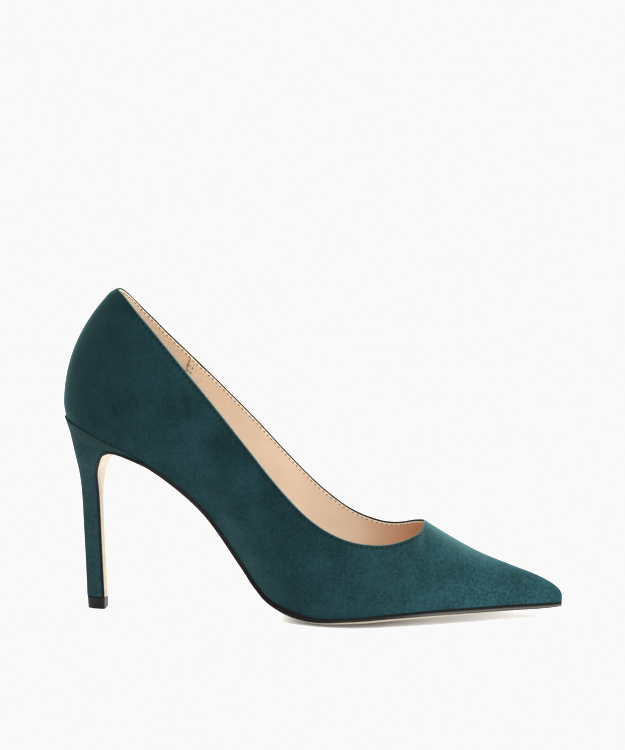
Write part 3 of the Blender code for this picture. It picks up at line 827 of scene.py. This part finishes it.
class SHOE_OT_lining(bpy.types.Operator):
    """Lining: a heel grip round the back and a front lining that laps over it, both with a pale cut edge"""

    bl_idname = "shoe.make_lining"
    bl_label = "Lining"

    def shell(self, s, lower, near, far):
        """Section numbers, outer and inner grid of one sheet, its ribs cut at the lowered topline."""
        t = cut_share(s, lower) * LINING_SHARES
        base, outward = last_point(s, t), ridge_normal(s, t)
        return s, base - near[..., None] * outward, base - far[..., None] * outward

    def sheet(self, name, shells, leather, throat, seam_columns):
        """Closed sheets from their two faces: flat rims, and a round pale edge along the topline."""
        grids, pale, dark = [], {}, {}
        for s, outer, inner in shells:
            open_top = np.abs(s[:, -1]) <= throat + TINY
            thick = np.linalg.norm(outer - inner, axis=-1, keepdims=True)[open_top, -1]
            outward = unit(outer - inner)[open_top, -1]
            tangent = np.gradient((outer + inner)[open_top, -1], axis=0)
            if open_top.sum() < len(s):
                tangent[-1] = (0.0, np.sign(tangent[-1, 1]), 0.0)
            upward = unit(np.cross(tangent, outward))
            upward *= np.sign(upward[:1, 2:])
            bead = half_round(outer[open_top, -1], outward, upward, thick[:, None], thick[:, None] / 2)
            bead[:, -1] = inner[open_top, -1]
            rims = [np.stack((outer[:, 0], inner[:, 0])), np.stack((outer[0], inner[0])),
                    np.stack((outer[-1], inner[-1]))]
            middle = BEAD_STEPS // 2
            ends = (0,) if open_top.sum() < len(s) else (0, -1)
            rims += [np.stack((bead[end, :middle + 1], bead[end, :middle - 1:-1])) for end in ends]
            down = np.linalg.norm(inner - inner[:, -1:], axis=-1)
            number = len(grids)
            pale[number + 1] = open_top[:, None] * fade(down, PALE_EDGE)
            pale[number + 2] = 1.0
            # painted shade along the grip seam, on the front lining's first columns
            dark[number + 1] = (np.arange(len(s)) < seam_columns)[:, None]
            grids += [outer, inner, bead] + rims
        piece(name, grids, [leather], marks={"cut_edge": pale, "seam_line": dark})

    def execute(self, context):
        sizes, colours = context.scene.shoe_sizes, context.scene.shoe_colours
        near = (sizes.skin + sizes.lining_gap) / MM
        lower = sizes.lining_drop / MM + (WALL - near) / 2
        throat = throat_number(lower)
        leather = finish_of("beige_lining_leather", lining_leather, colours)
        seam = seam_number(sizes, LINING_SHARES)
        seam_at = section("along", seam)

        s = np.linspace(-1, 1, 2 * GRIP_COLUMNS + 1)[:, None] * number_at(seam_at + sizes.seam_lap / MM)
        lap = lap_share(sizes, section("along", np.abs(s)) - seam_at)
        far = np.maximum(near + (WALL - near) * lap, near + GRIP_LEAST)
        grip = self.shell(s, lower, np.full(s.shape, near), far)
        self.sheet("heel_grip", [grip], leather, throat, 0)

        line = number_at(seam_at + np.array(SEAM_LINE)[:, None])
        rear = seam + (throat - seam) * shares(LINING_COLUMNS, REAR_CROWDING)[1:, None]
        toe = np.linspace(throat, number_at(LINING_FRONT), LINING_TOE_COLUMNS + 1)[1:, None]
        u = np.concatenate((line, rear, np.broadcast_to(toe, (len(toe), seam.shape[1]))))
        lap = lap_share(sizes, section("along", u) - seam_at)
        face = near + (WALL - near) * lap + lap * sizes.lining_gap / MM
        halves = [self.shell(side * u, lower, face, WALL + LAP_THICKNESS * lap) for side in (-1, 1)]
        self.sheet("front_lining", halves, leather, throat, len(SEAM_LINE) - 1)
        return {"FINISHED"}


STITCH_RINGS = 6
STITCH_SIDES = 7
STITCH_BOW = 0.16  # how deep a stitch's ends dive into the leather
STITCH_SINK = 0.1
# How deep the topline thread lies in the nap along the last
STITCH_SINKS = ((0.0, 0.25), (45.0, 0.15), (62.0, 0.0), (156.0, -0.04), (163.0, 0.1), (168.0, 0.34))
LINING_THREAD = 0.72  # of the topline thread's diameter
LINING_ROW_UP = 0.5
SEAM_ROWS = (1.1, 2.4)  # distances of the grip's two stitch rows ahead of its seam
SEAM_ROW_SHARES = (0.06, 0.93)


def stitch_grids(line, normal, sizes, slim=1.0):
    """Stitches every pitch or so along a line, bowed outwards in their middle.

    Each is a rod: x = L/2 sin(a), radius r sqrt(cos(a)), its ends sunk by bow sin(a) sin(a).
    """
    run = np.concatenate(([0.0], np.cumsum(np.linalg.norm(np.diff(line, axis=0), axis=1))))
    count = int(round(run[-1] / (sizes.stitch_pitch / MM)))
    at = (np.arange(count) + 0.5) * run[-1] / count
    taken = []
    for values in (line, np.gradient(line, axis=0), normal):
        taken.append(np.stack([np.interp(at, run, values[:, axis]) for axis in range(3)], axis=-1))
    centre, along, outward = (values[:, None, None] for values in (taken[0], unit(taken[1]), unit(taken[2])))
    a = np.linspace(-math.pi / 2, math.pi / 2, STITCH_RINGS + 1)[None, :, None, None]
    turn = np.linspace(0.0, 2 * math.pi, STITCH_SIDES + 1)[None, None, :, None]
    radius = slim * sizes.thread / MM / 2 * np.sqrt(np.maximum(np.cos(a), 0.0))
    reach = sizes.stitch_length / MM / 2 * np.sin(a)
    height = radius * np.sin(turn) - STITCH_BOW * np.sin(a) ** 2
    side = np.cross(along, outward)
    return list(centre + reach * along + radius * np.cos(turn) * side + height * outward)


class SHOE_OT_stitches(bpy.types.Operator):
    """Stitches: a row round the topline on the suede and on the lining, and two rows along each grip seam"""

    bl_idname = "shoe.make_stitches"
    bl_label = "Stitches"

    def execute(self, context):
        sizes, colours = context.scene.shoe_sizes, context.scene.shoe_colours
        fold = sizes.skin / MM / 2
        s = round_the_last(sizes, throat_number(fold))
        at = section("along", np.abs(s))
        edge, normal, upward = collar_loop(s, fold)
        row = edge - (sizes.stitch_down / MM - fold) * upward
        sink = np.interp(at, *np.transpose(STITCH_SINKS))[:, None]
        teal = finish_of("teal_thread", waxed_thread, colours.thread)
        piece("topline_stitches", stitch_grids(row - sink * normal, normal, sizes), [teal])

        ahead = at - sizes.seam_along / MM
        lap = np.where(ahead < 0, 0.0, lap_share(sizes, ahead))
        depth = WALL + LAP_THICKNESS * lap - STITCH_SINK
        row = row + LINING_ROW_UP * upward
        grids = stitch_grids(row - depth[:, None] * normal, -normal, sizes, LINING_THREAD)
        share = np.linspace(*SEAM_ROW_SHARES, LINING_ROWS)
        for distance in SEAM_ROWS:
            depth = WALL + LAP_THICKNESS * lap_share(sizes, distance) - STITCH_SINK
            u = number_at(section("along", seam_number(sizes, share)) + distance)
            for way in (-1, 1):
                t = cut_share(way * u, fold) * share
                normal = last_normal(way * u, t)
                grids += stitch_grids(last_point(way * u, t) - depth * normal, -normal, sizes, LINING_THREAD)
        beige = finish_of("beige_thread", waxed_thread, colours.lining_thread)
        piece("lining_stitches", grids, [beige])
        return {"FINISHED"}


SOCK_STATIONS = 150
SOCK_STRIPS = 28
SOCK_FRONT = 219.0
SOCK_CLEAR = 0.1
SOCK_THICKNESS = 2.0
SOCK_ROLL = 1.4  # width of the sock's rolled edge
SOCK_FRONT_ROLL = 0.3  # in section numbers


def inset_outline(u, name, clear):
    """The feather edge moved inwards: distances along and half widths, square to the outline."""
    run = section("along", u + OUTLINE_STEP) - section("along", u - OUTLINE_STEP)
    widen = section(name, u + OUTLINE_STEP) - section(name, u - OUTLINE_STEP)
    length = np.hypot(run, widen)
    return section("along", u) + clear * widen / length, section(name, u) - clear * run / length


def quarter_round(share):
    """Height of a quarter circle at a share of its width: 0 at its foot and 1 at its top."""
    return np.sqrt(1 - (1 - np.clip(share, 0.0, 1.0)) ** 2)


class SHOE_OT_sock(bpy.types.Operator):
    """Sock: leather over the insole board, crowned in its middle and rolled down at its edges"""

    bl_idname = "shoe.make_sock"
    bl_label = "Sock"

    def execute(self, context):
        sizes, colours = context.scene.shoe_sizes, context.scene.shoe_colours
        front = float(number_at(SOCK_FRONT))
        u = np.linspace(0.0, front, SOCK_STATIONS + 1)[:, None]
        outer_along, outer_half = inset_outline(u, "out", WALL + SOCK_CLEAR)
        inner_along, inner_half = inset_outline(u, "inn", WALL + SOCK_CLEAR)
        across = (1 - np.cos(np.linspace(0, math.pi, SOCK_STRIPS + 1)[None, :])) / 2
        along = outer_along + (inner_along - outer_along) * across
        outer_half[0] = inner_half[0] = 0.0
        width = inner_half + outer_half
        offset = -outer_half + width * across
        seat = section("seat", number_at(along))
        ahead, behind = (section("seat", number_at(along + step)) for step in (SLOPE_STEP, -SLOPE_STEP))
        climb = (ahead - behind) / (2 * SLOPE_STEP)
        from_edge = width * np.minimum(across, 1 - across)
        roll = quarter_round(from_edge / SOCK_ROLL) * quarter_round((front - u) / SOCK_FRONT_ROLL)
        crown = sizes.sock_crown / MM * (1 - (2 * across - 1) ** 2)
        lift = (SOCK_THICKNESS + crown) * roll / np.sqrt(1 + climb ** 2)
        top_number = number_at(along - climb * lift)
        above = lift * (1 + climb ** 2)
        swell = section("belly", top_number) * sine_rise(above / section("rise", top_number))
        swell = swell + section("out", top_number) - section("out", number_at(along))
        top_along = along - climb * lift + counter_lean(along, above)
        top = place(top_along, offset + (2 * across - 1) * swell, seat + lift)
        leather = finish_of("beige_lining_leather", lining_leather, colours)
        piece("sock", [place(along, offset, seat), top], [leather], "insole")
        return {"FINISHED"}


SOLE_STATIONS = 150
FLAP_STATIONS = 90
SOLE_GAP = 0.12
TOE_SETBACK = 0.015  # in section numbers
EDGE_STEPS = 8
EDGE_SWELL = 0.06
CORNER_STEPS = 7
KNEE_LEAST = 0.3
SINK_STEPS = 8
BOTTOM_STEPS = 4
# Painted highlight: a grey band on the black painted edge that stands in for its gloss. Below, in order:
# where along the last it starts; where it grows to full grey; how grey it is before that; the shares of the
# edge's height over which the grey sets in; those of a darker line at the edge's foot, which deepens along
# FOOT_GROWS
GLINT_BACK = (118.0, 138.0)
GLINT_GROWS = (150.0, 178.0)
GLINT_LEAST = 0.12
GLINT_BAND = (0.4, 0.65)
GLINT_FOOT = (0.72, 1.0)
FOOT_GROWS = (180.0, 202.0)
FOOT_BALL = 0.4  # how dark that line is under the ball, and at the toe
FOOT_TOE = 0.95


class SHOE_OT_sole(bpy.types.Operator):
    """Sole: a cream bottom with a black painted edge, from the toe to the arch and down the heel's breast"""

    bl_idname = "shoe.make_sole"
    bl_label = "Sole"

    def side(self, half, sizes, middle):
        """Offsets and depths of one half of the cross section: painted edge, rolled corner, bottom.

        The corner is a quadratic curve that starts upright and ends on the bottom's slope. The bottom sinks
        by a quarter of a sine to its full depth and stays there to the middle.
        """
        edge, roll, thick, bevel = sizes
        share = shares(EDGE_STEPS)
        paint = half + EDGE_SWELL * np.sin(math.pi * share)
        corner_in = np.minimum(ROLL_IN, bevel / 2)
        sink = thick - edge - roll
        knee = np.maximum(roll - math.pi / 2 * sink / (bevel - corner_in) * corner_in, KNEE_LEAST * roll)
        q = shares(CORNER_STEPS)[1:]
        corner = half - corner_in * q ** 2
        corner_deep = edge + 2 * q * (1 - q) * knee + roll * q ** 2
        f = shares(SINK_STEPS)[1:]
        sunk = half - corner_in - (bevel - corner_in) * f
        sunk_deep = edge + roll + sink * sine_rise(f)
        bottom = half - bevel + (middle - half + bevel) * shares(BOTTOM_STEPS)[1:]
        offsets = np.concatenate((paint, corner, sunk, bottom), axis=1)
        depths = np.concatenate((edge * share, corner_deep, sunk_deep, thick + 0 * bottom), axis=1)
        return offsets, depths

    def execute(self, context):
        colours = context.scene.shoe_colours
        front = np.linspace(LAST_SECTION - TOE_SETBACK, number_at(SOLE.along[0] + JOIN_RUN), SOLE_STATIONS)
        h = np.linspace(HEEL_TOP, 0, FLAP_STATIONS)
        along = np.concatenate((section("along", front), heel_table("front", h)))
        z = np.concatenate((section("seat", front), heel_table("front_z", h)))
        halves = [np.concatenate((section(name, front), heel_table("half", h))) for name in ("out", "inn")]
        run, climb = np.gradient(along), np.gradient(z)
        length = np.hypot(run, climb)
        down_along, down_z = (-climb / length)[:, None], (run / length)[:, None]
        sole_along = np.clip(along, SOLE.along[0], SOLE.along[-1])
        sole_along[SOLE_STATIONS:] = SOLE.along[0]
        thinning = np.zeros(len(along))
        thinning[SOLE_STATIONS:] = np.minimum(np.linspace(0, 1, FLAP_STATIONS) / FLAP_RAMP, 1.0)
        sizes = []
        for name, flap_size in FLAP.items():
            size = curve_through(sole_along, SOLE.along, getattr(SOLE, name))
            sizes.append(size + (flap_size - size) * thinning)
        edge, roll, thick, bevel = sizes
        edge = np.minimum(edge, thick - EDGE_STEP)
        roll = np.minimum(roll, ROLL_MOST * (thick - edge))
        bevel = np.minimum(bevel, BEVEL_MOST * np.minimum(*halves))
        edge, thick = (size + FLAP_GAP - SOLE_GAP for size in (edge, thick))
        sizes = [size[:, None] for size in (edge, roll, thick, bevel)]
        sides = []
        for way, half in zip((-1, 1), halves):
            middle = way * (halves[1] - halves[0])[:, None] / 2
            offsets, depths = self.side(half[:, None], sizes, middle)
            reach = SOLE_GAP + depths
            height = np.maximum(z[:, None] + down_z * reach, 0.0)
            sides.append(place(along[:, None] + down_along * reach, way * offsets, height))
        top = np.stack([side[:, 0] for side in sides], axis=1)
        caps = [np.stack([side[end] for side in sides]) for end in (0, -1)]
        painted = [side[:, :EDGE_STEPS + 1] for side in sides]
        cream = [side[:, EDGE_STEPS:] for side in sides]

        # painted highlight: a grey band down the edge, growing towards the toe
        share = shares(EDGE_STEPS)
        grey = (GLINT_LEAST + (1 - GLINT_LEAST) * ease(along, *GLINT_GROWS)) * ease(along, *GLINT_BACK)
        dark = FOOT_BALL + (FOOT_TOE - FOOT_BALL) * ease(along, *FOOT_GROWS)
        rubbed = grey[:, None] * ease(share, *GLINT_BAND) * (1 - dark[:, None] * ease(share, *GLINT_FOOT))
        leather = finish_of("cream_sole_leather", sole_leather, colours)
        paint = finish_of("black_edge_paint", edge_paint, colours)
        piece("sole", painted + [top] + caps + cream, [paint, leather], "outsole",
              parts=[0, 0, 0, 0, 1, 1, 1], marks={"rubbed": {0: rubbed, 1: rubbed}})
        return {"FINISHED"}


HEEL_RINGS = 140
HEEL_SIDE_POINTS = 60
# Shade on the cover under the upper: a narrow line, and a soft band that grows from the shoe's back
SEAM_SHADE = 0.52
SEAM_WIDTHS = (0.35, 1.5)
SEAM_SOFT = 0.48
SEAM_SOFT_WIDTH = 4.5
SEAM_SOFT_GROWS = (3.0, 9.0)
CUP_SHADE = 0.4  # shade along the breast, in the cup alone
CUP_SHADE_WIDTH = 2.5


def line_distance(x, z, line_x, line_z):
    """Distance of grid points from a line of points, both in the side view."""
    return np.hypot(x[..., None] - line_x, z[..., None] - line_z).min(axis=-1)


def block(along, half, z):
    """Closed block with a round back: its outer and inner side, its flat front and its two ends."""
    outer, inner = (place(along, way * half, z) for way in (-1, 1))
    breast = np.stack((outer[:, -1], inner[:, -1]), axis=1)
    return [outer, inner, breast] + [np.stack((outer[end], inner[end])) for end in (0, -1)]


class SHOE_OT_heel_cover(bpy.types.Operator):
    """Heel cover: suede round a slim stem that flares into a cup under the seat"""

    bl_idname = "shoe.make_heel_cover"
    bl_label = "Heel cover"

    def execute(self, context):
        colours = context.scene.shoe_colours
        turn = np.linspace(0.0, math.pi / 2, HEEL_SIDE_POINTS + 1)
        share = 1 - np.cos(turn)
        h = np.linspace(0, HEEL_TOP, HEEL_RINGS + 1)[:, None]
        back, front = heel_table("back", h), heel_table("front", h)
        along = back + (front - back) * share
        chord = heel_table("back_z", h) + (heel_table("front_z", h) - heel_table("back_z", h)) * share
        seat_back, seat_front = (section("seat", number_at(end)) for end in (back, front))
        bend = section("seat", number_at(along)) - seat_back - (seat_front - seat_back) * share
        z = chord + bend
        outline = section("out", number_at((front - back) * share)) / section("out", number_at(front - back))
        cup = ease(h, CUP_START, HEEL_TOP)
        half = heel_table("half", h) * ((1 - cup) * np.sin(turn) + cup * outline)

        seam = line_distance(along, z, along[-1], z[-1])
        soft = SEAM_SOFT * ease(along, *SEAM_SOFT_GROWS) * fade(seam, SEAM_SOFT_WIDTH)
        seam = np.maximum(SEAM_SHADE * (1 - ease(seam, *SEAM_WIDTHS)), soft)
        under = line_distance(along, z, along[:, -1], z[:, -1])
        under = CUP_SHADE * ease(cup, 0.0, 0.5) * fade(under, CUP_SHADE_WIDTH)
        shade = -np.maximum(seam, under)
        shades = [shade, shade, shade[:, -1:], shade[:1], shade[-1:]]
        cover = finish_of(
            "teal_heel_suede", suede, colours, colours.heel_dark, colours.heel_light, colours.thread,
            HEEL_SHEEN, 2, NAP_UP_HEEL)
        piece("heel_cover", block(along, half, z), [cover], "heel",
              marks={"rim": dict(enumerate(shades))})
        return {"FINISHED"}


LIFT_ROUND = 0.35
LIFT_ROUND_STEPS = 5
LIFT_SIDE_POINTS = 24


class SHOE_OT_lift(bpy.types.Operator):
    """Lift: a small moulded block under the heel, its edges rounded"""

    bl_idname = "shoe.make_lift"
    bl_label = "Heel lift"

    def execute(self, context):
        a = np.linspace(0, math.pi / 2, LIFT_ROUND_STEPS + 1)
        corner_z, corner_in = LIFT_ROUND * (1 - np.cos(a)), LIFT_ROUND * (1 - np.sin(a))
        z = np.concatenate((corner_z, LIFT_HEIGHT - corner_z[::-1]))[:, None]
        inset = np.concatenate((corner_in, corner_in[::-1] / 2))[:, None]
        taper = (1 - z / LIFT_HEIGHT) ** 2
        turn = np.linspace(0.0, math.pi / 2, LIFT_SIDE_POINTS + 1)
        back = HEEL.back[0] + LIFT_SETBACK + LIFT_TAPER * taper + inset
        front = HEEL.front[0] + FLAP_GAP + FLAP["edge"] - inset
        along = back + (front - back) * (1 - np.cos(turn))
        half = (LIFT_HALF_WIDTH - LIFT_SIDE_TAPER * taper - inset) * np.sin(turn)
        plastic = finish_of("black_polyurethane", polyurethane, context.scene.shoe_colours)
        piece("heel_lift", block(along, half, z), [plastic], "top_piece")
        return {"FINISHED"}


STAGE_FIELD = 293.75  # width of the picture at the shoe
CAMERA_FAR = 1500.0
CAMERA_AZIMUTH = math.radians(4.5)
CAMERA_ELEVATION = math.radians(7.5)
CAMERA_TARGET = (-0.5, 12.6, 111.6)
SENSOR = 36.0
FLOOR_REACH = 40.0  # in metres
FLOOR_BELOW = 0.05
FLOOR_GLOW = 1.1
GLOW_REACH = 6.0  # how far over the floor the shoe still dims its glow, a painted shadow
GLOW_SAMPLES = 8
PAPER_WHITE = 0.947  # brightest tone of the finished picture
ALL_CHANNELS = 3  # number of the tone curve that acts on red, green and blue together
WORLD_LIGHT = 0.55
# Soft lights: key from above the camera, rim from behind. toward: direction to the light
Light = namedtuple("Light", "name toward energy angle")
LIGHTS = (
    Light("soft_key", (0.25, -0.3, 0.92), 2.0, math.radians(50)),
    Light("soft_rim", (0.35, 0.7, 0.62), 4.0, math.radians(30)),
)


class SHOE_OT_stage(bpy.types.Operator):
    """Studio: pale floor, even white surround, two soft lights, and the camera"""

    bl_idname = "shoe.make_stage"
    bl_label = "Studio"

    def execute(self, context):
        scene = context.scene
        ends = np.array([-1.0, 1.0]) * FLOOR_REACH
        x, y = np.meshgrid(ends, ends, indexing="ij")
        corners = np.stack((x, y, np.full(x.shape, -FLOOR_BELOW * MM)), axis=-1).reshape(-1, 3)
        mesh = bpy.data.meshes.new("studio_floor")
        mesh.from_pydata(corners.tolist(), [], [(0, 2, 3, 1)])
        mesh.materials.append(finish_of("white_studio_floor", glowing_floor, scene.shoe_colours))
        add_object("studio_floor", mesh)

        world = bpy.data.worlds.new("white_surround")
        world.use_nodes = True
        background = world.node_tree.nodes["Background"]
        background.inputs["Color"].default_value = (WORLD_LIGHT, WORLD_LIGHT, WORLD_LIGHT, 1.0)
        scene.world = world
        for light in LIGHTS:
            sun = bpy.data.lights.new(light.name, "SUN")
            sun.energy = light.energy
            sun.angle = light.angle
            lamp = add_object(light.name, sun)
            lamp.rotation_euler = Vector(light.toward).to_track_quat("Z", "Y").to_euler()

        lens = bpy.data.cameras.new("camera")
        lens.sensor_fit = "HORIZONTAL"
        lens.sensor_width = SENSOR
        lens.lens = SENSOR * CAMERA_FAR / STAGE_FIELD
        lens.clip_end = 3 * FLOOR_REACH
        camera = add_object("camera", lens)
        flat = math.cos(CAMERA_ELEVATION)
        back = Vector((math.sin(CAMERA_AZIMUTH) * flat, -math.cos(CAMERA_AZIMUTH) * flat,
                       math.sin(CAMERA_ELEVATION)))
        camera.location = (Vector(CAMERA_TARGET) + CAMERA_FAR * back) * MM
        camera.rotation_euler = back.to_track_quat("Z", "Y").to_euler()
        scene.camera = camera
        scene.view_settings.view_transform = "Standard"
        scene.view_settings.use_curve_mapping = True
        curves = scene.view_settings.curve_mapping
        curves.extend = "HORIZONTAL"
        curves.curves[ALL_CHANNELS].points[-1].location = (PAPER_WHITE, PAPER_WHITE)
        curves.update()
        return {"FINISHED"}


class SHOE_PT_panel(bpy.types.Panel):
    """Sidebar panel with the sizes, the colours and one button for each piece"""

    bl_idname = "SHOE_PT_panel"
    bl_label = "Stiletto court shoe"
    bl_space_type = "VIEW_3D"
    bl_region_type = "UI"
    bl_category = "Shoe"

    def draw(self, context):
        for group in (context.scene.shoe_sizes, context.scene.shoe_colours):
            box = self.layout.box()
            for name in group.__annotations__:
                box.prop(group, name)
        for maker in MAKERS:
            self.layout.operator(maker.bl_idname)


MAKERS = (
    SHOE_OT_upper, SHOE_OT_lining, SHOE_OT_stitches, SHOE_OT_sock, SHOE_OT_sole, SHOE_OT_heel_cover,
    SHOE_OT_lift, SHOE_OT_stage,
)
CLASSES = (ShoeSizes, ShoeColours, *MAKERS, SHOE_PT_panel)


def register():
    for kind in CLASSES:
        bpy.utils.register_class(kind)
    bpy.types.Scene.shoe_sizes = PointerProperty(type=ShoeSizes)
    bpy.types.Scene.shoe_colours = PointerProperty(type=ShoeColours)


def unregister():
    del bpy.types.Scene.shoe_colours
    del bpy.types.Scene.shoe_sizes
    for kind in reversed(CLASSES):
        bpy.utils.unregister_class(kind)


def main():
    """Make every piece in order."""
    register()
    bpy.ops.shoe.make_upper()
    bpy.ops.shoe.make_lining()
    bpy.ops.shoe.make_stitches()
    bpy.ops.shoe.make_sock()
    bpy.ops.shoe.make_sole()
    bpy.ops.shoe.make_heel_cover()
    bpy.ops.shoe.make_lift()
    bpy.ops.shoe.make_stage()


if __name__ == "__main__":
    main()
